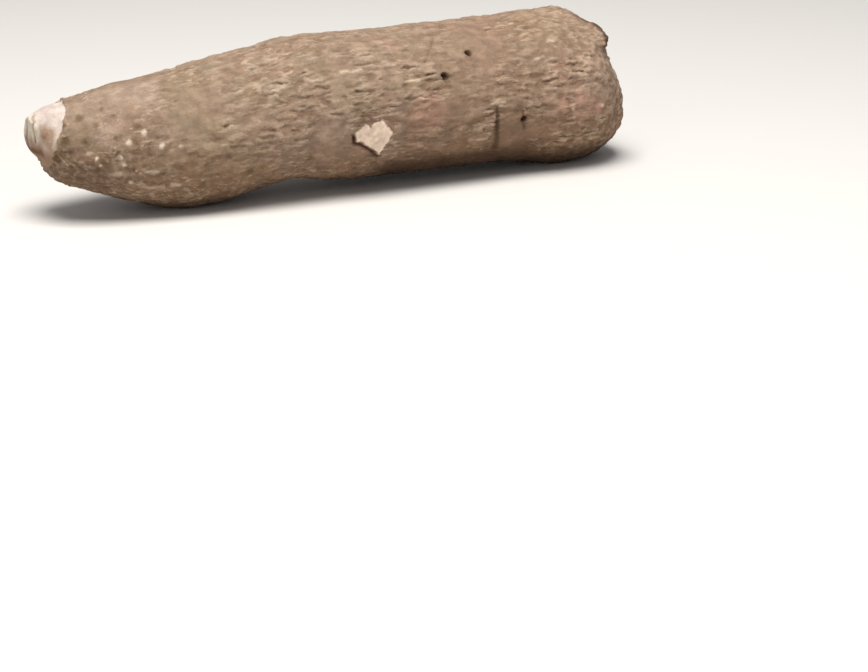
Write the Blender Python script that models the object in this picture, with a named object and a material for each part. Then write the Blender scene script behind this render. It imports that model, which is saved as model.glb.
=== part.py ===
"""A white yam tuber lying on its side, as it was dug up and trimmed.

Metres, +Z up. The cut neck points to -X and the blunt growing end to +X. The
origin is on the surface that the tuber lies on, under the middle of its length.
"""

import math
from collections import namedtuple

import bmesh
import bpy
import numpy as np
from mathutils import Vector

# Driving dimensions, in metres
LENGTH = 0.4105  # along the middle, from the cut neck to the tip of the blunt end
RESTING_HEIGHT = 0.0  # the surface that the tuber lies on

# How finely the skin is modelled
RINGS = 50
SIDES = 32
STEPS_BETWEEN_SECTIONS = 20  # for measuring how far it is along the skin
MERGE_DISTANCE = 0.00005
SHARP_ANGLE = 50  # degrees; only the edges of the two flats are sharper

SKIN_COLOUR = (0.34, 0.24, 0.165, 1.0)
SKIN_ROUGHNESS = 0.85

SMOOTH_NECK = 0.030  # the stretch over which the unevenness of the skin fades in

# A wave in the skin: its height as a share of the radius, how many times it goes round
# the tuber, how often it twists over the length, how often it swells over the length,
# and where the twist and the swell start.
Wave = namedtuple("Wave", "height lobes twists swells twist_start swell_start")

WAVES = [
    Wave(0.020, 2, 1.7, 1.3, 0.0, 0.6),
    Wave(0.012, 3, -2.3, 0.0, 1.0, math.pi / 2),
    Wave(0.008, 6, 1.1, 3.7, 0.0, 2.0),
]

# A cross-section of the tuber: how far it is from the neck, where its centre is,
# its half width and half height, and how far its top leans to -X, in degrees.
Section = namedtuple("Section", "along side height half_width half_height lean")

SECTIONS = [
    Section(0.001, 0.002, 0.0528, 0.0115, 0.0150, 15),
    Section(0.006, 0.002, 0.0494, 0.0178, 0.0213, 14),
    Section(0.016, 0.001, 0.0478, 0.0250, 0.0267, 10),
    Section(0.030, 0.000, 0.0477, 0.0300, 0.0297, 4),
    Section(0.048, 0.000, 0.0468, 0.0350, 0.0345, 0),
    Section(0.070, 0.001, 0.0445, 0.0400, 0.0400, 0),
    Section(0.096, 0.002, 0.0425, 0.0445, 0.0448, 0),
    Section(0.123, 0.001, 0.0465, 0.0465, 0.0460, 0),
    Section(0.148, -0.001, 0.0515, 0.0460, 0.0448, 0),
    Section(0.173, -0.002, 0.0562, 0.0465, 0.0458, 0),
    Section(0.203, -0.002, 0.0542, 0.0485, 0.0490, 0),
    Section(0.238, -0.001, 0.0527, 0.0490, 0.0485, 0),
    Section(0.268, 0.000, 0.0530, 0.0495, 0.0480, 0),
    Section(0.298, 0.001, 0.0525, 0.0500, 0.0485, 0),
    Section(0.328, 0.001, 0.0525, 0.0510, 0.0500, 2),
    Section(0.353, 0.000, 0.0517, 0.0530, 0.0530, 6),
    Section(0.370, 0.000, 0.0519, 0.0530, 0.0535, 11),
    Section(0.384, 0.000, 0.0535, 0.0500, 0.0532, 14),
    Section(0.394, 0.000, 0.0553, 0.0435, 0.0487, 15),
    Section(0.402, 0.000, 0.0554, 0.0355, 0.0410, 18),
    Section(0.407, 0.000, 0.0530, 0.0250, 0.0300, 20),
    Section(0.4095, 0.000, 0.0500, 0.0150, 0.0180, 20),
    Section(0.4105, 0.000, 0.0485, 0.0040, 0.0040, 20),
]


def clear_scene():
    for thing in list(bpy.data.objects):
        bpy.data.objects.remove(thing, do_unlink=True)


def cubic(before, start, end, after, share):
    """A Catmull-Rom curve's value between start and end."""
    bend = before - 2.5 * start + 2 * end - 0.5 * after
    twist = 1.5 * (start - end) + 0.5 * (after - before)
    return start + share * (0.5 * (end - before) + share * (bend + share * twist))


def section_at(place):
    """The smooth cross-section at a place that counts in SECTIONS."""
    last = len(SECTIONS) - 1
    first = min(int(place), last - 1)
    near = [SECTIONS[min(max(first + step, 0), last)] for step in (-1, 0, 1, 2)]
    return Section(*(cubic(*values, place - first) for values in zip(*near)))


def even_sections(count):
    """Cross-sections that are equally far apart along the skin."""
    last = len(SECTIONS) - 1
    places = np.linspace(0, last, STEPS_BETWEEN_SECTIONS * len(SECTIONS))
    walk = [section_at(place) for place in places]
    steps = [
        math.hypot(after.along - before.along, after.half_height - before.half_height)
        for before, after in zip(walk, walk[1:])
    ]
    walked = np.concatenate(([0.0], np.cumsum(steps)))
    wanted = np.linspace(0, walked[-1], count)
    return [section_at(place) for place in np.interp(wanted, walked, places)]


def unevenness(along, angle):
    """How far the skin stands proud of its cross-section, as a share of the radius."""
    turn = along / LENGTH * math.tau
    total = 0.0
    for wave in WAVES:
        ridge = math.sin(wave.lobes * angle + wave.twists * turn + wave.twist_start)
        swell = math.sin(wave.swells * turn + wave.swell_start)
        total += wave.height * ridge * swell
    return total * min(along / SMOOTH_NECK, 1.0)


def skin_point(section, angle):
    radius = 1 + unevenness(section.along, angle)
    across = radius * section.half_width * math.cos(angle)
    rise = radius * section.half_height * math.sin(angle)
    lean = math.radians(section.lean)
    return Vector(
        (
            section.along - rise * math.sin(lean),
            section.side + across,
            section.height + rise * math.cos(lean),
        )
    )


def rolled_skin(sections):
    """A flat grid rolled up into the tuber's skin, closed along its seam and at both ends."""
    bm = bmesh.new()
    bmesh.ops.create_grid(bm, x_segments=len(sections) - 1, y_segments=SIDES, size=0.5)
    for vert in bm.verts:
        section = sections[round((vert.co.x + 0.5) * (len(sections) - 1))]
        vert.co = skin_point(section, -(vert.co.y + 0.5) * math.tau)
    bmesh.ops.remove_doubles(bm, verts=bm.verts, dist=MERGE_DISTANCE)
    bmesh.ops.holes_fill(bm, edges=bm.edges, sides=0)
    return bm


def flatten_underside(bm):
    """Cuts off what would sink below the surface, which leaves two small flats to rest on."""
    geometry = bm.verts[:] + bm.edges[:] + bm.faces[:]
    bmesh.ops.bisect_plane(
        bm,
        geom=geometry,
        dist=MERGE_DISTANCE,
        plane_co=(0, 0, RESTING_HEIGHT),
        plane_no=(0, 0, -1),
        clear_outer=True,
    )
    open_edges = [edge for edge in bm.edges if edge.is_boundary]
    for vert in {vert for edge in open_edges for vert in edge.verts}:
        vert.co.z = RESTING_HEIGHT
    bmesh.ops.holes_fill(bm, edges=open_edges, sides=0)


def centre_on_origin(bm):
    """Moves the middle of the length and of the width over the origin."""
    xs = [vert.co.x for vert in bm.verts]
    ys = [vert.co.y for vert in bm.verts]
    middle = Vector((min(xs) + max(xs), min(ys) + max(ys), 0)) / 2
    bmesh.ops.translate(bm, verts=bm.verts, vec=-middle)


def skin_material():
    material = bpy.data.materials.new("yam_bark")
    material.use_nodes = True
    shader = material.node_tree.nodes["Principled BSDF"]
    shader.inputs["Base Color"].default_value = SKIN_COLOUR
    shader.inputs["Roughness"].default_value = SKIN_ROUGHNESS
    shader.inputs["Metallic"].default_value = 0.0
    return material


def build_tuber():
    bm = rolled_skin(even_sections(RINGS))
    flatten_underside(bm)
    centre_on_origin(bm)
    bmesh.ops.recalc_face_normals(bm, faces=bm.faces)
    mesh = bpy.data.meshes.new("yam_tuber")
    bm.to_mesh(mesh)
    bm.free()
    mesh.materials.append(skin_material())
    mesh.shade_smooth()
    mesh.set_sharp_from_angle(angle=math.radians(SHARP_ANGLE))
    tuber = bpy.data.objects.new("yam_tuber", mesh)
    bpy.context.collection.objects.link(tuber)


clear_scene()
build_tuber()
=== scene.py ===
import math

import bpy
import numpy as np
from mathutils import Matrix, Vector, noise
from mathutils.bvhtree import BVHTree


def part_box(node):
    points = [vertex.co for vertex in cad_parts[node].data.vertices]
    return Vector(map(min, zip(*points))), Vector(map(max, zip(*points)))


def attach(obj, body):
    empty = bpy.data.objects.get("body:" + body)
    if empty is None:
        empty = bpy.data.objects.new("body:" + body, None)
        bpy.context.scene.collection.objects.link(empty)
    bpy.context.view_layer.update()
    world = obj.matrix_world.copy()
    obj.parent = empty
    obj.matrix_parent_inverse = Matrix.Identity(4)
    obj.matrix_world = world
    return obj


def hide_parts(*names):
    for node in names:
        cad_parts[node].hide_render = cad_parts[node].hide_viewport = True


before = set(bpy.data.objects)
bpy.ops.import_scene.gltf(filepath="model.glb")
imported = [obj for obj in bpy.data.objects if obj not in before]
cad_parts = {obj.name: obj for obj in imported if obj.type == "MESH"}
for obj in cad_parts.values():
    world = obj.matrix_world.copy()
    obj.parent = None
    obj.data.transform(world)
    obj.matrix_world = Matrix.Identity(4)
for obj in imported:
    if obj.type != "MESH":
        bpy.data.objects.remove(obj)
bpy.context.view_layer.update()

mm = 0.001
low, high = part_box("yam_tuber")
middle = (low + high) / 2
neckX = low.x + 0.9 * mm  # the cut neck's lower edge; everything along the tuber is counted from here
print("tuber", [round(v / mm) for v in high - low], "mm")


def hexToLinear(code):
    # sRGB hex to the linear colour that a shader wants
    channels = [int(code[i:i + 2], 16) / 255 for i in (1, 3, 5)]
    linear = [c / 12.92 if c <= 0.04045 else ((c + 0.055) / 1.055) ** 2.4 for c in channels]
    return (*linear, 1.0)


def addNode(tree, kind, settings=None, links=None):
    # settings: node properties by name or socket values by name or number; links: sockets to plug in
    node = tree.nodes.new(kind)
    for name, value in (settings or {}).items():
        if isinstance(name, str) and hasattr(node, name):
            setattr(node, name, value)
        else:
            node.inputs[name].default_value = value
    for name, socket in (links or {}).items():
        tree.links.new(socket, node.inputs[name])
    return node


def pickOnly(obj):
    if bpy.context.object and bpy.context.object.mode != "OBJECT":
        bpy.ops.object.mode_set(mode="OBJECT")
    bpy.ops.object.select_all(action="DESELECT")
    obj.select_set(True)
    bpy.context.view_layer.objects.active = obj


def addModifier(obj, kind, **settings):
    modifier = obj.modifiers.new(kind.lower(), kind)
    for name, value in settings.items():
        setattr(modifier, name, value)
    return modifier


def applyModifiers(obj):
    pickOnly(obj)
    for modifier in list(obj.modifiers):
        bpy.ops.object.modifier_apply(modifier=modifier.name)


def smoothStep(value, start, end):
    # 0 up to the start and 1 from the end on; the end may be the lower of the two
    t = np.clip((value - start) / (end - start), 0, 1)
    return t * t * (3 - 2 * t)


def bell(value, width):
    # 1 at 0, and hardly anything from twice the width on
    return np.exp(-(value / width) ** 2)


def distanceTo(places, place):
    return np.linalg.norm(places - np.array(place), axis=1) / mm


def grainNoise(places, wanted, size, seed):
    # smooth noise about -1 to 1 at the wanted places, with lumps of this many mm, and 0 elsewhere
    shift = Vector((seed * 7.3, seed * 3.1, seed * 5.7))
    found = np.zeros(len(places))
    found[wanted] = [noise.noise(Vector(place) / (size * mm) + shift) for place in places[wanted]]
    return found


def vertexArrays(obj):
    count = len(obj.data.vertices)
    places = np.empty(count * 3)
    normals = np.empty(count * 3)
    obj.data.vertices.foreach_get("co", places)
    obj.data.vertices.foreach_get("normal", normals)
    return places.reshape(-1, 3), normals.reshape(-1, 3)


def moveVertices(obj, places):
    obj.data.vertices.foreach_set("co", places.ravel())
    obj.data.update()


# camera: looks down on the tuber from its neck side, with the tuber high and left in the view
camera = {
    "azimuth": -27.2,
    "down": 18.2,
    "lens": 105.6,
    "back": 1.664,     # metres from the middle of the tuber
    "aside": 0.0641,
    "above": -0.150,
}


def makeCamera():
    a, e = math.radians(camera["azimuth"]), math.radians(camera["down"])
    back = Vector((math.sin(a) * math.cos(e), -math.cos(a) * math.cos(e), math.sin(e)))
    right = Vector((math.cos(a), math.sin(a), 0))
    up = back.cross(right)
    place = middle + back * camera["back"] + right * camera["aside"] + up * camera["above"]
    bpy.ops.object.camera_add(location=place)
    eye = bpy.context.object
    eye.rotation_mode = "QUATERNION"
    eye.rotation_quaternion = (-back).to_track_quat("-Z", "Y")
    eye.data.lens = camera["lens"]
    eye.data.sensor_width = 36
    bpy.context.scene.camera = eye


makeCamera()
print("camera done")


# lights: one big soft box overhead, a weaker one from the neck side, and a pale room
lights = {
    "overhead": {"place": (-0.3, -0.5, 1.85), "size": 1.1, "power": 63, "colour": "#fffefc"},
    "neckSide": {"place": (-1.6, -1.3, 0.9), "size": 1.2, "power": 6, "colour": "#ffffff"},
}
room = {"colour": "#f4f6fa", "strength": 0.34}


def makeLights():
    for name, look in lights.items():
        bpy.ops.object.light_add(type="AREA", location=look["place"])
        lamp = bpy.context.object
        lamp.name = name
        lamp.data.size = look["size"]
        lamp.data.energy = look["power"]
        lamp.data.color = hexToLinear(look["colour"])[:3]
        lamp.rotation_euler = (middle - lamp.location).to_track_quat("-Z", "Y").to_euler()
    world = bpy.data.worlds.new("paleRoom")
    world.use_nodes = True
    background = world.node_tree.nodes["Background"]
    background.inputs["Color"].default_value = hexToLinear(room["colour"])
    background.inputs["Strength"].default_value = room["strength"]
    bpy.context.scene.world = world
    bpy.context.scene.view_settings.view_transform = "Standard"


makeLights()
print("lights done")


# floor: the plain pale matt sheet that the tuber lies on
floorLook = {"size": 14.0, "colour": "#cdc9c4", "roughness": 0.8}


def makeFloor():
    bpy.ops.mesh.primitive_plane_add(size=floorLook["size"], location=(0, 0, low.z))
    floor = bpy.context.object
    floor.name = "floor"
    material = bpy.data.materials.new("paleMattSheet")
    material.use_nodes = True
    shader = material.node_tree.nodes["Principled BSDF"]
    shader.inputs["Base Color"].default_value = hexToLinear(floorLook["colour"])
    shader.inputs["Roughness"].default_value = floorLook["roughness"]
    floor.data.materials.append(material)


makeFloor()
print("floor done")


# skin: a merged, smoothed and evenly remeshed copy of the solid
skinLook = {
    "voxel": 0.95,              # mm between points before the fine places are refined
    "smoothing": 8,
    "clearance": 0.05,          # mm left above the surface that the tuber lies on
    "mostTriangles": 188000,
}


def makeSkin():
    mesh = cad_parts["yam_tuber"].data.copy()
    skin = bpy.data.objects.new("yam_skin", mesh)
    bpy.context.scene.collection.objects.link(skin)
    pickOnly(skin)
    mesh.materials.clear()
    bpy.ops.mesh.customdata_custom_splitnormals_clear()
    bpy.ops.object.mode_set(mode="EDIT")
    bpy.ops.mesh.select_all(action="SELECT")
    bpy.ops.mesh.remove_doubles(threshold=0.01 * mm)
    bpy.ops.mesh.tris_convert_to_quads()
    bpy.ops.object.mode_set(mode="OBJECT")
    addModifier(skin, "SUBSURF", levels=2, render_levels=2)
    addModifier(skin, "REMESH", mode="VOXEL", voxel_size=skinLook["voxel"] * mm)
    addModifier(skin, "SMOOTH", factor=0.5, iterations=skinLook["smoothing"])
    applyModifiers(skin)
    return skin


skin = makeSkin()
print("skin", len(skin.data.polygons), "faces")


# marks on the skin: each starts with its distance from the neck in mm and its angle above the near side in
# degrees, and the notes say what comes after those two. Lengths are in mm
marks = {
    # the radius
    "pits": [(289, 45, 2.8), (267, 28, 2.9), (323, -12, 2.6)],
    "rootScars": [
        (72, -3, 2.2), (62, 10, 2.2), (52, 2, 1.9), (33, -14, 1.4), (49, -20, 1.7), (47, -12, 1.4),
        (35, -22, 1.1), (84, -5, 1.6), (54, -38, 1.8), (358, -7, 1.8), (360, -14, 1.8), (381, -8, 1.6)
    ],
    "soilSpots": [
        (204, 4, 2.0), (209, 4, 1.6), (15.5, 35, 2.6), (16, 8, 3.2), (11.5, -22, 3.6), (14, -13, 2.8),
        (18, -8, 2.2), (26.5, 39, 3.2), (41, 46, 1.8), (46, 34, 2.4), (35, 25, 2.2), (58, 17, 2.0),
        (61, 17, 1.6), (20, -52, 2.6), (27, 7, 2.0), (57, 1, 1.8), (45, 8, 1.6), (74, -7, 2.0),
        (64, -9, 2.2), (35, -27, 3.0), (37, -17, 2.2), (47, -35, 2.6), (25, -49, 3.0), (115, -16, 2.2),
        (171, -27, 2.4), (131, -31, 2.4), (98, -39, 3.2), (324, 4, 2.2), (345, -42, 2.6),
        (307, -38, 2.6)
    ],
    # half the length of the lens-shaped splits in the bark
    "splits": [
        (153, 37, 9), (178, 29, 8), (146, 30, 5), (172, 16, 5), (126, 38, 4), (117, 9, 7),
        (257, 30, 5), (244, 37, 8), (215, 50, 7), (232, 60, 4), (243, 14, 10), (227, 10, 5),
        (312, 67, 4), (325, 4, 4), (373, 30, 4), (362, 25, 8), (362, 20, 5), (343, 16, 5),
        (329, -3, 7), (358, -30, 8), (212, 43, 8), (169, 42, 3), (186, 9, 5), (182, 25, 3),
        (220, 30, 2), (203, 23, 3), (141, 56, 4), (375, -29, 8), (366, -31, 5), (390, -46, 6),
        (353, -35, 6), (383, -19, 4), (345, 28, 5)
    ],
    # half the length and half the width of the pale streaks
    "streaks": [
        (46, -30, 12, 1.5), (66, -26, 6, 1.2), (67, -43, 6, 1.4), (82, -39, 4, 1.2), (28, -9, 4, 0.8),
        (230, 40, 5, 0.9), (176, 34, 5, 1.0), (201, 38, 9, 1.2), (243, 27, 6, 0.9), (303, 3, 6, 0.7),
        (152, 33, 6, 0.9), (188, 18, 5, 0.8), (348, 44, 4, 0.6), (337, 33, 5, 0.7), (366, 14, 5, 0.9),
        (289, -16, 4, 1.4), (293, -25, 5, 1.2), (348, -26, 5, 0.9), (380, -36, 6, 0.9)
    ],
    # the scab's corners, with a notch in the upper edge
    "scab": [
        (199, -7), (206, -1), (208.5, -2), (209.5, -5), (211, -1), (214, 0), (218, 1), (221, -4),
        (226, -9), (222, -21), (219, -28), (213, -21), (205, -15), (201, -14)
    ],
    # points down the crack across the grain, the short one through a pit and the hair crack
    "crack": [(302, 0), (303, -13), (304.5, -25), (306, -36)],
    "pitCrack": [(322, -5), (322, -12), (324, -20)],
    "hairCrack": [(269, 63), (264, 54), (259, 46), (255, 40)],
    # points along the flap's lifted edge
    "flap": [(370, 98), (378, 81), (384, 68), (387, 60), (389, 51), (391, 43), (392, 35)],
    # the middle of a brown spot on the pared flesh
    "neckSpot": [(4.5, 21)],
    # the radius and the strength of zones of another colour, and last of smoother skin
    "rawSkin": [
        (251, 4, 11, 0.4), (367, -5, 10, 0.6), (352, -2, 6, 0.4), (381, -9, 5, 0.7), (232, 62, 9, 0.3)
    ],
    "russet": [
        (249, -3, 13, 0.6), (255, 11, 9, 0.4), (352, -4, 6, 0.5), (318, 62, 8, 0.3),
        (372, -38, 12, 0.5)
    ],
    "dusty": [
        (68, 61, 13, 1.0), (54, 64, 10, 1.0), (76, 44, 7, 0.5), (150, 60, 10, 0.4), (38, 14, 8, 1.0),
        (297, -13, 5, 0.6), (42, 62, 15, 0.7), (44, 44, 12, 0.7), (25, 54, 10, 0.8),
        (289, -19, 5, 0.5), (185, -14, 20, 0.5), (150, -24, 14, 0.4), (82, -2, 11, 0.4),
        (128, -3, 12, 0.2), (218, -24, 14, 0.4), (238, -10, 14, 0.4)
    ],
    "mossy": [
        (30, 63, 10, 0.25), (98, 62, 9, 0.8), (86, 55, 8, 0.7), (106, -9, 9, 0.7), (277, 12, 12, 0.8),
        (303, 7, 8, 0.5), (288, -14, 8, 0.5), (383, -9, 5, 0.6), (355, -28, 9, 0.3),
        (349, 64, 17, 0.9), (330, 66, 12, 0.6), (366, 50, 14, 0.8), (341, 34, 9, 0.6)
    ],
    "plum": [
        (318, -24, 13, 0.7), (336, -28, 10, 0.9), (362, -31, 8, 0.4), (313, -37, 10, 0.8),
        (281, 15, 12, 0.5), (341, 34, 8, 0.5), (366, 46, 9, 0.5), (61, 17, 11, 0.9), (103, 5, 6, 0.2),
        (160, -45, 18, 0.4)
    ],
    "calm": [
        (302, 56, 20, 1.0), (95, 27, 18, 1.0), (183, -11, 17, 0.8), (268, 2, 12, 1.0),
        (60, 75, 24, 1.0), (28, 50, 16, 0.9), (26, 12, 12, 0.9), (48, 33, 13, 0.8),
        (320, -27, 14, 1.0), (388, 66, 10, 1.0)
    ],
    # the radius and the height of the low hollows and swellings
    "swells": [
        (26, -67, 12, -1.3), (108, -57, 14, -1.6), (140, -49, 16, -2.0), (234, -51, 14, -2.0),
        (56, 98, 13, 1.2), (371, 78, 16, -3.8), (400, 21, 8, -2.3), (391, 34, 7, -1.5),
        (387, 52, 9, 1.6), (397, -63, 8, -2.0), (4, -165, 8, 3.4)
    ],
}


def surfaceTree(skin):
    places, _ = vertexArrays(skin)
    faces = [tuple(face.vertices) for face in skin.data.polygons]
    return BVHTree.FromPolygons([Vector(place) for place in places], faces)


def skinPoint(tree, along, angle):
    # where a line from well outside towards the tuber's long axis meets the skin
    turn = math.radians(angle)
    centre = Vector((neckX + along * mm, middle.y, middle.z))
    outwards = Vector((0, -math.cos(turn), math.sin(turn)))
    hit, normal, index, distance = tree.ray_cast(centre + outwards * (200 * mm), -outwards)
    return hit


def refine(skin, places, reach):
    # cuts the faces within reach of the places into smaller ones
    pickOnly(skin)
    centres = np.empty(len(skin.data.polygons) * 3)
    skin.data.polygons.foreach_get("center", centres)
    centres = centres.reshape(-1, 3)
    near = np.zeros(len(centres), bool)
    for place in places:
        near |= distanceTo(centres, place) < reach
    bpy.ops.object.mode_set(mode="EDIT")
    bpy.ops.mesh.select_all(action="DESELECT")
    bpy.ops.object.mode_set(mode="OBJECT")
    skin.data.polygons.foreach_set("select", near)
    bpy.ops.object.mode_set(mode="EDIT")
    bpy.ops.mesh.select_mode(type="FACE")
    bpy.ops.mesh.subdivide(number_cuts=1, smoothness=0)
    bpy.ops.object.mode_set(mode="OBJECT")


tree = surfaceTree(skin)
markPlaces = {name: [skinPoint(tree, mark[0], mark[1]) for mark in found] for name, found in marks.items()}
scabCentre = sum(markPlaces["scab"], Vector()) / len(marks["scab"])
finePlaces = [
    # places that need finer faces, and how far round them in mm
    ([Vector((neckX, 0, middle.z))], 36),
    ([scabCentre], 18),
    (markPlaces["flap"], 8),
    (markPlaces["crack"] + markPlaces["pitCrack"], 6),
    (markPlaces["pits"], 4),
]
for places, reach in finePlaces:
    refine(skin, places, reach)
print("refined skin", len(skin.data.polygons), "faces")


def pathDistance(places, path):
    # mm from each place to a line through the path's points, and the share of the path up to there
    far = np.full(len(places), np.inf)
    share = np.zeros(len(places))
    for number, (start, end) in enumerate(zip(path, path[1:])):
        start = np.array(start)
        run = np.array(end) - start
        t = np.clip(((places - start) @ run) / (run @ run), 0, 1)
        here = np.linalg.norm(places - start - t[:, None] * run, axis=1) / mm
        closer = here < far
        far[closer] = here[closer]
        share[closer] = (number + t[closer]) / (len(path) - 1)
    return far, share


# neck: bark pared away with a knife, which leaves a slanting ragged edge and pale flesh a little lower
neck = {
    "reach": 45,            # mm along the tuber that this looks at
    "edgeLow": 9.8,         # mm of bare flesh up to the height of the turn
    "edgeTurn": 45,
    "edgeHigh": 13,         # mm more of it 30 mm above the turn
    "edgeRagged": 1.1,
    "paredDepth": 0.4,      # mm of bark taken off
    "biteDepth": 0.35,      # how much deeper the knife went just inside the edge
    "lipHeight": 0.35,
    "lipWidth": 2.2,
    "facets": 0.8,          # mm that the cut is uneven by
    "ribs": 0.25,
    # cracks down the dried end: their sides and heights in mm
    "grooves": [
        [(3.5, 67), (6, 61), (8.5, 54), (9, 47)],
        [(-1, 69), (-5.5, 66), (-4.5, 62), (-3, 57), (-0.5, 52)]
    ],
    "grooveDepth": 0.8,
}
# sap stains on the flesh: shares of the stain's colour, and heights in mm above the floor
neckStain = {
    "stainTop": 67,         # where the brown starts, and where it is full
    "stainFull": 60,
    "stain": 0.6,
    "lowStain": 0.25,       # how much more there is low down, partly painted warm shade under the neck
    "backStain": -0.4,      # and high up behind the end
    "bandHeight": 44.8,     # the dark band of sap under the end, partly painted shade where the end's lower edge faces down
    "bandWidth": 3.3,
    "groove": 0.7,
    "spotSap": 0.6,
    "spotStain": 0.25,
    "ribs": 0.35,
}


def neckGrooves(places, along, blotch):
    # for each crack, how deep in it a place is and how far on its dry pale sides
    grooves = []
    for path in neck["grooves"]:
        path = [Vector((0, across * mm, up * mm)) for across, up in path]
        far, _ = pathDistance(places * (0, 1, 1), path)
        inside = bell(far + 0.4 * blotch, 0.9) * smoothStep(along, 6, 4)
        beside = bell(far - 2.2, 0.8) * smoothStep(along, 5, 3)
        grooves.append((inside, beside))
    return grooves


def shapeNeck(places):
    look = neckStain
    along = (places[:, 0] - neckX) / mm
    side = places[:, 1] / mm
    height = places[:, 2] / mm
    near = along < neck["reach"]
    edge = neck["edgeLow"] + neck["edgeHigh"] * np.clip((height - neck["edgeTurn"]) / 30, 0, 1.3) ** 2
    edge += 0.3 * np.maximum(side, 0) * smoothStep(height, 52, 62)
    ragged = neck["edgeRagged"] * grainNoise(places, near, 8, 1) + 0.9 * grainNoise(places, near, 2.6, 2)
    past = along - edge - ragged  # mm from the bark's edge, bark side positive
    flesh = 1 - smoothStep(past, -0.4, 0.4)
    lip = bell(past - 0.8, neck["lipWidth"]) * (1 - flesh) * smoothStep(height, 36, 46)
    bite = bell(past + 1.4, 0.8)
    ribs = grainNoise(places * np.array((3.2, 0.5, 0.5)), near, 6, 18)
    blotch = grainNoise(places, near, 6, 12)
    grooves = neckGrooves(places, along, blotch)

    pared = (neck["paredDepth"] + neck["biteDepth"] * bite * flesh) * flesh * smoothStep(along, 0, 5)
    move = neck["lipHeight"] * lip - pared
    for inside, _ in grooves:
        move -= neck["grooveDepth"] * inside
    move += neck["ribs"] * ribs * flesh
    move += neck["facets"] * grainNoise(places, near, 11, 3) * flesh

    # brown low down, in the cracks and in one spot, but not where the knife cut last
    stain = smoothStep(height + 2 * blotch, look["stainTop"], look["stainFull"])
    stain = stain * (look["stain"] + 0.4 * blotch)
    # more stain low down, which is also painted warm shade on the neck's underside
    stain += look["lowStain"] * smoothStep(height, 51, 46)
    stain += look["backStain"] * smoothStep(along, 8, 12) * smoothStep(height, 50, 54)
    # the sap band also paints the shade where the end's lower edge faces down
    sap = bell(height - look["bandHeight"] + 1.5 * blotch, look["bandWidth"])
    sap *= smoothStep(side, -11, -4) * smoothStep(side, 22, 12)
    for inside, beside in grooves:
        stain = stain * (1 - 0.8 * beside)
        sap = np.maximum(sap, look["groove"] * inside)
    spot = distanceTo(places, markPlaces["neckSpot"][0])
    spot += 0.8 * grainNoise(places, spot < 8, 2.5, 13)
    stain += look["spotStain"] * (1 - smoothStep(spot, 2, 9))
    sap = np.maximum(sap, look["spotSap"] * (1 - smoothStep(spot, 0.4, 3.2)))
    stain += look["ribs"] * ribs + 0.06
    # less stain on the top of the end: painted light where the end faces away from the lamps
    stain *= 1 - 0.5 * smoothStep(along, 5, 2) * smoothStep(height, 50, 56)
    stain *= 1 - 0.9 * bite * smoothStep(height, 44, 54)
    chalk = smoothStep(along, 4.5, 2) * smoothStep(height, 49, 55)
    return flesh, np.clip(stain, 0, 1) * flesh, np.clip(sap, 0, 1) * flesh, chalk * flesh, move


def shapeSpots(places, name, wander, lumps, seed, full, gone):
    # round spots: their outline wanders by some mm in lumps of some mm, and they fade between two shares
    # of their radius
    spots = []
    for place, (_, _, radius) in zip(markPlaces[name], marks[name]):
        far = distanceTo(places, place)
        far += wander * grainNoise(places, far < 3 * radius, lumps, seed)
        spots.append(1 - smoothStep(far, full * radius, gone * radius))
    return spots


def shapeZones(places, name, edge, seed):
    # round zones with a wandering outline. Their edge is soft over this share of the radius
    zone = np.zeros(len(places))
    for place, (_, _, radius, strength) in zip(markPlaces[name], marks[name]):
        far = distanceTo(places, place)
        near = far < 2 * radius
        far += 0.45 * radius * grainNoise(places, near, 0.8 * radius, seed)
        far += 2.0 * grainNoise(places, near, 3, seed + 1)
        here = 1 - smoothStep(far, radius - edge * radius, radius + edge * radius)
        zone = np.maximum(zone, strength * here)
    return zone


def alongGrain(places, place, half, bends):
    # for a mark along the tuber: the places near it, 1 at its middle down to 0 at its ends, and mm above
    # its line. Each bend of the line has an amount, a size and a seed
    away = (places - np.array(place)) / mm
    near = np.linalg.norm(away, axis=1) < half + 4
    ends = 1 - (away[:, 0] / half) ** 2
    above = np.sqrt(np.maximum((away ** 2).sum(1) - away[:, 0] ** 2, 0)) * np.sign(away[:, 2])
    above = above + sum(amount * grainNoise(places, near, lumps, seed) for amount, lumps, seed in bends)
    return near, ends, above


def shapeStreaks(places):
    pale = np.zeros(len(places))
    for place, (_, _, half, width) in zip(markPlaces["streaks"], marks["streaks"]):
        near, ends, above = alongGrain(places, place, half, [(0.9, 5, 27), (0.4, 1.6, 28)])
        pale = np.maximum(pale, bell(above, width) * smoothStep(ends, 0, 0.5) * near)
    return pale


def shapeSplits(places):
    # lens-shaped splits along the tuber, painted dark as the shade in them, with a slight rim that is
    # painted a little pale as its highlight
    split = np.zeros(len(places))
    rim = np.zeros(len(places))
    for place, (_, _, half) in zip(markPlaces["splits"], marks["splits"]):
        near, ends, above = alongGrain(places, place, half, [(1.3, 5, 17), (0.5, 1.8, 20)])
        ends = np.clip(ends, 0, 1)
        far = np.abs(above)
        width = 0.4 + 0.8 * np.sqrt(ends)
        split = np.maximum(split, (1 - smoothStep(far, 0, 1.2 * width)) * smoothStep(ends, 0, 0.4) * near)
        rim = np.maximum(rim, bell(far - width - 0.6, 0.8) * smoothStep(ends, 0.1, 0.6) * near)
    return split, rim * (1 - split)


# cracks: one deep across the grain, a short one through a pit and a hair crack
cracks = {
    # mm wide, and mm more of it at the low end
    "crack": {"width": 2.1, "widening": 1.8, "strength": 1.0},
    "pitCrack": {"width": 1.3, "widening": 0, "strength": 0.6},
    "hairCrack": {"width": 0.7, "widening": 0, "strength": 0.4},
}


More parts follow.
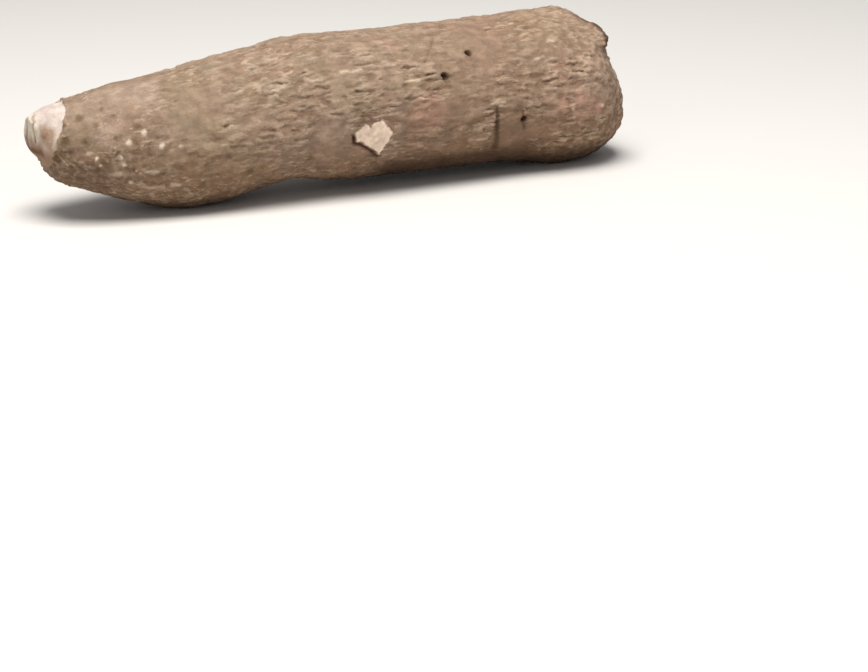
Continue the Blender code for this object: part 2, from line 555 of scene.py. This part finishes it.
def shapeCracks(places):
    dark = np.zeros(len(places))
    for name, look in cracks.items():
        far, share = pathDistance(places, markPlaces[name])
        near = far < 8
        far = far + 0.5 * grainNoise(places, near, 4.0, 6) * near
        wide = look["width"] + look["widening"] * share ** 2
        # the crack's share sinks the skin and is painted dark as the shade inside it
        dark = np.maximum(dark, look["strength"] * (1 - smoothStep(far, 0.1 * wide, 1.2 * wide)) * near)
    return dark


# scab: a torn bit of pale skin that stands proud, with a groove under its neck side and lower edges that
# is painted dark as its shadow
scab = {
    "height": 1.2,
    "gapDepth": 1.2,
    "gapWidth": 2.0,
    "gapSide": (-0.6, 0, -0.8),     # the way to the gap from the scab's middle
    "rimWidth": 2.2,
    "wornDepth": 0.25,
}


def insidePath(places, corners):
    # which places lie inside a closed path, seen from the near side
    inside = np.zeros(len(places), bool)
    for start, end in zip(corners, corners[1:] + corners[:1]):
        beside = (places[:, 2] < start.z) != (places[:, 2] < end.z)
        crossing = start.x + (places[:, 2] - start.z) / (end.z - start.z) * (end.x - start.x)
        inside ^= beside & (places[:, 0] < crossing)
    return inside


def shapeScab(places):
    corners = markPlaces["scab"]
    away = (places - np.array(scabCentre)) / mm
    near = np.linalg.norm(away, axis=1) < 24
    far, _ = pathDistance(places, corners + corners[:1])
    ragged = 0.4 * grainNoise(places, near, 3.6, 25) + 0.5 * grainNoise(places, near, 1.7, 8)
    inside = np.where(insidePath(places, corners), far, -far) + ragged
    patch = smoothStep(inside, -0.3, 0.3) * near
    gapWidth = scab["gapWidth"] * (1 + 0.7 * smoothStep(-away[:, 2], 2, 9))
    gap = bell(inside + 0.6 * gapWidth, 0.55 * gapWidth)
    gap = gap * smoothStep(away @ np.array(scab["gapSide"]), 7, 9.5) * near
    rim = patch * bell(inside, scab["rimWidth"])
    worn = 0.5 + 0.9 * grainNoise(places, near, 3.4, 21) + 0.4 * grainNoise(places, near, 1.3, 22)
    move = scab["height"] * patch * (0.7 + 0.5 * rim) - scab["gapDepth"] * gap
    move -= scab["wornDepth"] * worn * patch
    return patch, gap * (1 - patch), np.clip(worn, 0, 1) * patch * (1 - rim), move


# flap: bark that lifted off the rim of the thick end and dried, thickest at its lower tip. It is steep on
# the side of the end's face, and long and low on the other
flap = {"height": 4.2, "width": 5.2, "steepShare": 0.55, "longShare": 1.2}


def shapeFlap(places):
    path = markPlaces["flap"]
    far, share = pathDistance(places, path)
    near = far < 12
    wander = 0.7 * grainNoise(places, near, 6.0, 9) + 0.4 * grainNoise(places, near, 2.2, 29)
    far = np.abs(far + wander * near)
    rise = smoothStep(share, 0.05, 0.75) * (1 - smoothStep(share, 0.89, 0.98))
    rise = rise * (1 + 0.3 * grainNoise(places, near, 4.5, 30))
    outer = places[:, 0] > np.interp(places[:, 2], [p.z for p in path[::-1]], [p.x for p in path[::-1]])
    reach = np.where(outer, flap["steepShare"], flap["longShare"]) * flap["width"]
    ridge = bell(far, reach) * near * rise
    shade = (1 - smoothStep(far, np.where(outer, 0.6, 2.6), np.where(outer, 1.8, 4.6))) * near
    shade = shade * smoothStep(share, 0.1, 0.4) * (1 - smoothStep(share, 0.90, 0.98))
    shade = shade * np.clip(0.8 + 0.7 * grainNoise(places, near, 3.0, 31), 0, 1)
    return shade, flap["height"] * ridge


# painted shade low down, where the tuber lies on the floor. A little of it is under the belly, more under
# the thick end, and a fainter painted shade goes up the neck's side. Tops are in mm above the floor,
# starts and ends in mm from the neck
lowShade = {
    "bellyTop": 20,
    "belly": 0.6,
    "thickStarts": 190,
    "thickTop": 31,
    "tailStarts": 325,
    "tailLower": 6,       # mm less of it round the tail
    "headEnds": 70,
    "headTop": 60,
    "head": 0.42,
}


def shapeLowShade(places):
    along = (places[:, 0] - neckX) / mm
    height = places[:, 2] / mm + 4 * grainNoise(places, places[:, 2] < 40 * mm, 24, 26)
    belly = lowShade["belly"] * smoothStep(height, lowShade["bellyTop"], 2)
    tail = smoothStep(along, lowShade["tailStarts"], lowShade["tailStarts"] + 20)
    top = lowShade["thickTop"] - lowShade["tailLower"] * tail
    thick = smoothStep(along, lowShade["thickStarts"], lowShade["thickStarts"] + 60)
    thick = thick * smoothStep(height, top, top - 15)
    head = smoothStep(along, lowShade["headEnds"], lowShade["headEnds"] - 40)
    head = lowShade["head"] * head * smoothStep(height, lowShade["headTop"], lowShade["headTop"] - 28)
    return np.maximum(np.maximum(belly, thick), head)


# how far each mark moves the skin out, in mm
markHeights = {
    "pits": -2.2,
    "scars": 0.5,
    "cracks": -0.8,
    "raw": -0.3,
    "splitRims": 0.3,
    "splits": -0.6,
    "streaks": 0.3,
}


def markSkin(skin):
    # moves the skin where a mark is, and keeps each mark's share for the material
    places, normals = vertexArrays(skin)
    flesh, stain, sap, chalk, neckMove = shapeNeck(places)
    patch, gap, worn, scabMove = shapeScab(places)
    flapShade, flapMove = shapeFlap(places)
    cracked = shapeCracks(places)
    splits, splitRims = shapeSplits(places)
    streaks = shapeStreaks(places)
    soilAndShade = shapeSpots(places, "soilSpots", wander=1.6, lumps=3.0, seed=14, full=0.4, gone=1.4)
    pits = shapeSpots(places, "pits", wander=0.5, lumps=2.0, seed=4, full=0.4, gone=1.1)
    pits = np.maximum.reduce(pits)
    scars = shapeSpots(places, "rootScars", wander=0.5, lumps=1.6, seed=5, full=0.3, gone=1.1)
    scars = np.maximum.reduce([scar * (1 - 0.04 * number) for number, scar in enumerate(scars)])
    raw = shapeZones(places, "rawSkin", edge=0.4, seed=10)
    raw = np.clip(raw * (0.75 + 0.9 * grainNoise(places, raw > 0, 4, 24)), 0, 1)
    masks = {
        "flesh": flesh,
        "stain": stain,
        "sap": sap,
        "chalk": chalk,
        "scab": patch,
        "worn": worn,
        # root scars, and the split rims a little paler as a painted highlight
        "scar": np.maximum(scars, 0.15 * splitRims),
        "streak": streaks,
        "raw": raw,
        # painted shade in the pits, the cracks, the groove under the scab and along the flap
        "holeShade": np.maximum.reduce([pits, 0.5 * cracked, gap, 0.6 * flapShade]),
        "calm": 0.75 * shapeZones(places, "calm", edge=0.4, seed=15),
    }
    outwards = markHeights
    move = neckMove + scabMove + flapMove + outwards["pits"] * pits + outwards["scars"] * scars
    move = move + outwards["cracks"] * cracked + outwards["raw"] * raw
    move += outwards["splitRims"] * splitRims + outwards["splits"] * splits + outwards["streaks"] * streaks
    for place, (_, _, radius, height) in zip(markPlaces["swells"], marks["swells"]):
        move += height * bell(distanceTo(places, place), radius)
    places = places + normals * move[:, None] * mm
    moveVertices(skin, places)
    # these are measured on the skin as it now is
    halos = shapeSpots(places, "pits", wander=0.8, lumps=2.5, seed=19, full=0.8, gone=1.9)
    halos = 0.6 * np.maximum.reduce(halos)
    # soil spots and the brown round the pits, with painted shade in the cracks, the splits and along the
    # flap
    masks["soilAndShade"] = np.maximum.reduce([*soilAndShade, cracked, 0.8 * splits, flapShade, halos])
    for name in ("dusty", "mossy", "plum", "russet"):
        masks[name] = shapeZones(places, name, edge=0.5, seed=23)
    # painted shade low down, where the tuber lies
    masks["lowShade"] = shapeLowShade(places)
    for name, values in masks.items():
        layer = skin.data.attributes.new(name, "FLOAT", "POINT")
        layer.data.foreach_set("value", np.asarray(values, np.float32))
    return list(masks)


maskNames = markSkin(skin)
print("marks done")


# bark: layers of noise, each stretched along the tuber. "size" is along and around in mm, "from" is the
# part of the noise that shows, "height" in mm and "colour" say what it does there, and "where" names a
# share of the skin
barkLayers = {
    "lump": {"size": (55, 55), "detail": 1.0, "from": (-0.6, 0.6), "height": 0.9},
    "dent": {"size": (18, 14), "detail": 1.0, "from": (-0.5, 0.5), "height": 0.8},
    "fold": {"size": (12, 4.6), "detail": 1.0, "from": (-0.12, 0.22), "height": 0.72, "where": "middle"},
    # the wrinkles' dark colour is painted shade in them
    "wrinkle": {"size": (10, 4.2), "detail": 1.0, "from": (0.11, 0.0), "height": -0.3, "where": "rough",
                "colour": "#624c3a", "strength": 0.35, "seed": 4, "folded": True},
    "knob": {"size": (5.0, 4.2), "detail": 1.5, "from": (-0.35, 0.45), "height": 0.62, "where": "tail"},
    "crumb": {"size": (3.6, 3.0), "detail": 1.5, "from": (-0.35, 0.45), "height": 0.55, "where": "head",
              "seed": 2},
    # the slits' dark colour is painted shade in them
    "slit": {"size": (11, 3.2), "detail": 1.0, "from": (0.14, 0.38), "height": -0.45, "where": "rough",
             "colour": "#694e38", "strength": 0.5},
    # the flakes' pale colour is a painted highlight on them
    "flake": {"size": (8, 2.8), "detail": 1.0, "from": (0.25, 0.45), "height": 0.35, "where": "rough",
              "colour": "#b8a28c", "strength": 0.32, "seed": 3},
    "darkDot": {"size": (4.4, 3.4), "detail": 0.0, "from": (0.35, 0.55), "height": -0.5, "where": "head",
                "colour": "#5c4733", "strength": 0.6, "seed": 5},
    "paleDot": {"size": (4.0, 2.0), "detail": 0.0, "from": (0.42, 0.6), "height": 0.25, "where": "head",
                "colour": "#c4b093", "strength": 0.5, "seed": 7},
}
barkSink = 0.80           # mm the whole skin goes in, so the relief stays about the solid
barkRegions = {
    "headEnds": 95,       # mm from the neck where the knobbly head gives way to long folds
    "tailStarts": 325,    # and where the knobbly thick end starts
    "tailFull": 370,
    "bellyStarts": 42,    # mm above the floor, below which the bark is knobbly too
    "bellyFull": 18,
    "belly": 0.8,
    "patches": 32,        # mm across the rougher and smoother patches
}


def barkPattern(tree, place, calm):
    # the same pattern shapes the mesh and colours it, from each point's place before the relief
    region = barkRegions
    split = addNode(tree, "ShaderNodeSeparateXYZ", links={0: place})
    head = addNode(
        tree, "ShaderNodeMapRange",
        {"interpolation_type": "SMOOTHSTEP", "From Min": neckX + region["headEnds"] * mm,
         "From Max": neckX + 0.4 * region["headEnds"] * mm},
        {"Value": split.outputs["X"]})
    tail = addNode(
        tree, "ShaderNodeMapRange",
        {"interpolation_type": "SMOOTHSTEP", "From Min": neckX + region["tailStarts"] * mm,
         "From Max": neckX + region["tailFull"] * mm},
        {"Value": split.outputs["X"]})
    belly = addNode(
        tree, "ShaderNodeMapRange",
        {"interpolation_type": "SMOOTHSTEP", "From Min": region["bellyStarts"] * mm,
         "From Max": region["bellyFull"] * mm, "To Max": region["belly"]},
        {"Value": split.outputs["Z"]})
    patches = addNode(
        tree, "ShaderNodeTexNoise",
        {"normalize": False, "Scale": 1 / (region["patches"] * mm), "Detail": 1.0},
        {"Vector": place})
    rough = addNode(
        tree, "ShaderNodeMapRange",
        {"interpolation_type": "SMOOTHSTEP", "From Min": -0.25, "From Max": 0.25, "To Min": 0.45},
        {"Value": patches.outputs[0]})
    head = addNode(
        tree, "ShaderNodeMath", {"operation": "MAXIMUM"}, {0: head.outputs[0], 1: belly.outputs[0]})
    ends = addNode(
        tree, "ShaderNodeMath", {"operation": "MAXIMUM"}, {0: head.outputs[0], 1: tail.outputs[0]})
    between = addNode(
        tree, "ShaderNodeMapRange", {"To Min": 1.0, "To Max": 0.3}, {"Value": ends.outputs[0]})
    lively = addNode(tree, "ShaderNodeMath", {"operation": "SUBTRACT", 0: 1.0}, {1: calm})
    shares = {}
    for name, share in (("rough", rough), ("head", head), ("tail", tail), ("middle", between)):
        shares[name] = addNode(
            tree, "ShaderNodeMath", {"operation": "MULTIPLY"}, {0: share.outputs[0], 1: lively.outputs[0]})
    found = {}
    for name, look in barkLayers.items():
        along, around = look["size"]
        seed = look.get("seed", 0)
        stretched = addNode(
            tree, "ShaderNodeVectorMath",
            {"operation": "MULTIPLY_ADD", 1: (1 / (along * mm), 1 / (around * mm), 1 / (around * mm)),
             2: (seed * 3.7, seed * 5.3, seed * 2.9)},
            {0: place})
        waves = addNode(
            tree, "ShaderNodeTexNoise",
            {"normalize": False, "Scale": 1.0, "Detail": look["detail"], "Distortion": 0.3},
            {"Vector": stretched.outputs[0]})
        if "folded" in look:
            waves = addNode(tree, "ShaderNodeMath", {"operation": "ABSOLUTE"}, {0: waves.outputs[0]})
        shown = addNode(
            tree, "ShaderNodeMapRange",
            {"interpolation_type": "SMOOTHSTEP", "From Min": look["from"][0], "From Max": look["from"][1]},
            {"Value": waves.outputs[0]})
        if "where" in look:
            shown = addNode(
                tree, "ShaderNodeMath", {"operation": "MULTIPLY"},
                {0: shown.outputs[0], 1: shares[look["where"]].outputs[0]})
        found[name] = shown.outputs[0]
    return found


def addRelief(skin):
    tree = bpy.data.node_groups.new("barkRelief", "GeometryNodeTree")
    tree.interface.new_socket("Geometry", in_out="INPUT", socket_type="NodeSocketGeometry")
    tree.interface.new_socket("Geometry", in_out="OUTPUT", socket_type="NodeSocketGeometry")
    start = addNode(tree, "NodeGroupInput")
    place = addNode(tree, "GeometryNodeInputPosition")
    stored = addNode(
        tree, "GeometryNodeStoreNamedAttribute", {"data_type": "FLOAT_VECTOR", "Name": "restPlace"},
        {"Geometry": start.outputs[0], "Value": place.outputs[0]})
    calm, flesh, scabbed = [
        addNode(tree, "GeometryNodeInputNamedAttribute", {"data_type": "FLOAT", "Name": name}).outputs[0]
        for name in ("calm", "flesh", "scab")]
    found = barkPattern(tree, place.outputs[0], calm)
    bare = addNode(tree, "ShaderNodeMath", {"operation": "MAXIMUM"}, {0: flesh, 1: scabbed})
    covered = addNode(
        tree, "ShaderNodeMapRange", {"To Min": 1.0, "To Max": 0.2}, {"Value": bare.outputs[0]})
    height = addNode(tree, "ShaderNodeMath", {"operation": "MULTIPLY", 0: 0.0})
    for name, look in barkLayers.items():
        height = addNode(
            tree, "ShaderNodeMath", {"operation": "MULTIPLY_ADD", 1: look["height"] * mm},
            {0: found[name], 2: height.outputs[0]})
    height = addNode(
        tree, "ShaderNodeMath", {"operation": "MULTIPLY_ADD", 2: -barkSink * mm},
        {0: height.outputs[0], 1: covered.outputs[0]})
    normal = addNode(tree, "GeometryNodeInputNormal")
    offset = addNode(
        tree, "ShaderNodeVectorMath", {"operation": "SCALE"},
        {0: normal.outputs[0], "Scale": height.outputs[0]})
    moved = addNode(
        tree, "GeometryNodeSetPosition",
        links={"Geometry": stored.outputs[0], "Offset": offset.outputs[0]})
    addNode(tree, "NodeGroupOutput", links={0: moved.outputs[0]})
    modifier = addModifier(skin, "NODES")
    modifier.node_group = tree
    applyModifiers(skin)


def settle(skin):
    # nothing reaches below the surface that the tuber lies on
    places, _ = vertexArrays(skin)
    places[:, 2] = np.maximum(places[:, 2], low.z + skinLook["clearance"] * mm)
    moveVertices(skin, places)


def countTriangles(obj):
    return sum(len(face.vertices) - 2 for face in obj.data.polygons)


def thinOut(skin):
    # fewer faces where the skin is smooth, down to the most triangles that skinLook gives
    addModifier(skin, "DECIMATE", ratio=min(skinLook["mostTriangles"] / countTriangles(skin), 1.0))
    applyModifiers(skin)
    skin.data.shade_smooth()


addRelief(skin)
settle(skin)
thinOut(skin)
print("relief done", len(skin.data.polygons), "faces")


# yamBark: dry cork over a starchy root. Matt and dusty, pale on its ridges as a painted highlight and dark
# in its folds as painted shade
barkColours = {
    "tan": "#907c69",
    "pink": "#967968",
    "olive": "#897d66",
    "rosy": "#937561",
    "under": "#795631",      # the underside: painted shade, darker and warmer towards the floor
    "lowShade": "#412b19",       # painted shade where the tuber lies on the floor
    "dusty": "#bea999",
    "mossy": "#82765a",
    "plum": "#7e675a",
    # painted shade in the folds and a painted highlight on the ridges
    "fold": "#735b49",
    "ridge": "#a38f7b",
    "flesh": "#b4a59b",
    "chalk": "#c9bfae",      # starch dried on the end
    "stain": "#866546",      # flesh with sap dried on it
    "sap": "#583519",
    "scab": "#e2ccb8",
    "worn": "#b79f8a",
    "scar": "#d3c1ac",
    "streak": "#b4a08a",
    "raw": "#a98171",
    "russet": "#a2745a",
    # soil, and painted shade in the cracks, the splits and along the flap
    "soilAndShade": "#543f28",
    # painted shade in pits, cracks and the groove under the scab
    "holeShade": "#34190a",
}
barkSizes = {
    # mm across the pink and the olive patches, the mottling and the corky grain
    "pink": 34,
    "olive": 26,
    "mottle": 7,
    "grain": 1.5,
}
barkFinish = {
    "Roughness": 0.85,
    "Specular IOR Level": 0.25,   # dust leaves hardly any gloss
    "Sheen Weight": 0.03,
    "Sheen Roughness": 0.5,
}
grainBump = {"strength": 0.4, "height": 0.2}   # height in mm; the bump is only the finest grain


def makeBark():
    material = bpy.data.materials.new("yamBark")
    material.use_nodes = True
    tree = material.node_tree
    shader = tree.nodes["Principled BSDF"]
    place = addNode(tree, "ShaderNodeAttribute", {"attribute_name": "restPlace"}).outputs["Vector"]
    masks = {}
    for name in maskNames:
        masks[name] = addNode(tree, "ShaderNodeAttribute", {"attribute_name": name}).outputs["Fac"]
    found = barkPattern(tree, place, masks["calm"])
    pinkness = addNode(
        tree, "ShaderNodeTexNoise",
        {"normalize": False, "Scale": 1 / (barkSizes["pink"] * mm), "Detail": 3.0},
        {"Vector": place})
    oliveness = addNode(
        tree, "ShaderNodeTexNoise",
        {"noise_dimensions": "4D", "normalize": False, "W": 4.0, "Scale": 1 / (barkSizes["olive"] * mm),
         "Detail": 3.0},
        {"Vector": place})
    mottle = addNode(
        tree, "ShaderNodeTexNoise",
        {"normalize": False, "Scale": 1 / (barkSizes["mottle"] * mm), "Detail": 4.0, "Roughness": 0.55},
        {"Vector": place})
    grain = addNode(
        tree, "ShaderNodeTexNoise",
        {"normalize": False, "Scale": 1 / (barkSizes["grain"] * mm), "Detail": 3.0, "Roughness": 0.6},
        {"Vector": place})
    axes = addNode(tree, "ShaderNodeSeparateXYZ", links={0: place})
    wander = addNode(
        tree, "ShaderNodeMath", {"operation": "MULTIPLY_ADD", 1: 20 * mm},
        {0: pinkness.outputs[0], 2: axes.outputs["Z"]})

    # each step: what decides the share, the share's range, how strong it is, and the colour mixed in
    steps = [
        (pinkness.outputs[0], (-0.1, 0.35), 0.5, barkColours["pink"]),
        (oliveness.outputs[0], (-0.1, 0.3), 0.7, barkColours["olive"]),
    ]
    for name in ("dusty", "mossy", "plum", "russet"):
        steps.append((masks[name], (0, 1), 0.8, barkColours[name]))
    steps += [
        (axes.outputs["X"], (0, 90 * mm), 0.45, barkColours["rosy"]),
        (axes.outputs["X"], (-20 * mm, -90 * mm), 0.3, barkColours["olive"]),
        # darker and warmer low down: painted shade on the underside
        (wander.outputs[0], (53 * mm, 12 * mm), 0.75, barkColours["under"]),
        # dark in the low parts of the folds and knobs as painted shade, pale on their tops and on the
        # crumbs as painted highlights
        (found["fold"], (0.35, 0.0), 0.4, barkColours["fold"]),
        (found["fold"], (0.6, 1.0), 0.35, barkColours["ridge"]),
        (found["knob"], (0.35, 0.0), 0.45, barkColours["fold"]),
        (found["knob"], (0.5, 0.95), 0.45, barkColours["ridge"]),
        (found["crumb"], (0.5, 0.95), 0.45, barkColours["ridge"]),
    ]
    for name, look in barkLayers.items():
        if "colour" in look:
            steps.append((found[name], (0, 1), look["strength"], look["colour"]))
    for name, strength in (("lowShade", 0.9), ("soilAndShade", 0.75), ("raw", 0.9), ("streak", 0.8), ("scar", 0.92),
                           ("flesh", 1.0), ("chalk", 0.9), ("stain", 0.85), ("sap", 0.9), ("scab", 1.0),
                           ("worn", 0.6), ("holeShade", 1.0)):
        steps.append((masks[name], (0, 1), strength, barkColours[name]))
    colour = addNode(
        tree, "ShaderNodeMix", {"data_type": "RGBA", 0: 0.0, 6: hexToLinear(barkColours["tan"])})
    for source, (start, end), strength, mixed in steps:
        share = addNode(
            tree, "ShaderNodeMapRange", {"From Min": start, "From Max": end, "To Max": strength},
            {"Value": source})
        colour = addNode(
            tree, "ShaderNodeMix", {"data_type": "RGBA", 7: hexToLinear(mixed)},
            {0: share.outputs[0], 6: colour.outputs[2]})

    # lighter and darker by the mottling, and a little by the grain
    light = addNode(
        tree, "ShaderNodeMapRange", {"From Min": -0.5, "From Max": 0.5, "To Min": 0.90, "To Max": 1.18},
        {"Value": mottle.outputs[0]})
    fine = addNode(
        tree, "ShaderNodeMapRange", {"From Min": -0.5, "From Max": 0.5, "To Min": 0.95, "To Max": 1.05},
        {"Value": grain.outputs[0]})
    both = addNode(
        tree, "ShaderNodeMath", {"operation": "MULTIPLY"}, {0: light.outputs[0], 1: fine.outputs[0]})
    colour = addNode(
        tree, "ShaderNodeVectorMath", {"operation": "SCALE"},
        {0: colour.outputs[2], "Scale": both.outputs[0]})
    tree.links.new(colour.outputs[0], shader.inputs["Base Color"])
    for name, value in barkFinish.items():
        shader.inputs[name].default_value = value
    bump = addNode(
        tree, "ShaderNodeBump", {"Strength": grainBump["strength"], "Distance": grainBump["height"] * mm},
        {"Height": grain.outputs[0]})
    tree.links.new(bump.outputs[0], shader.inputs["Normal"])
    return material


skin.data.materials.append(makeBark())
print("bark material done")


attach(skin, "root")
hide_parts("yam_tuber")
print("triangles", countTriangles(skin))
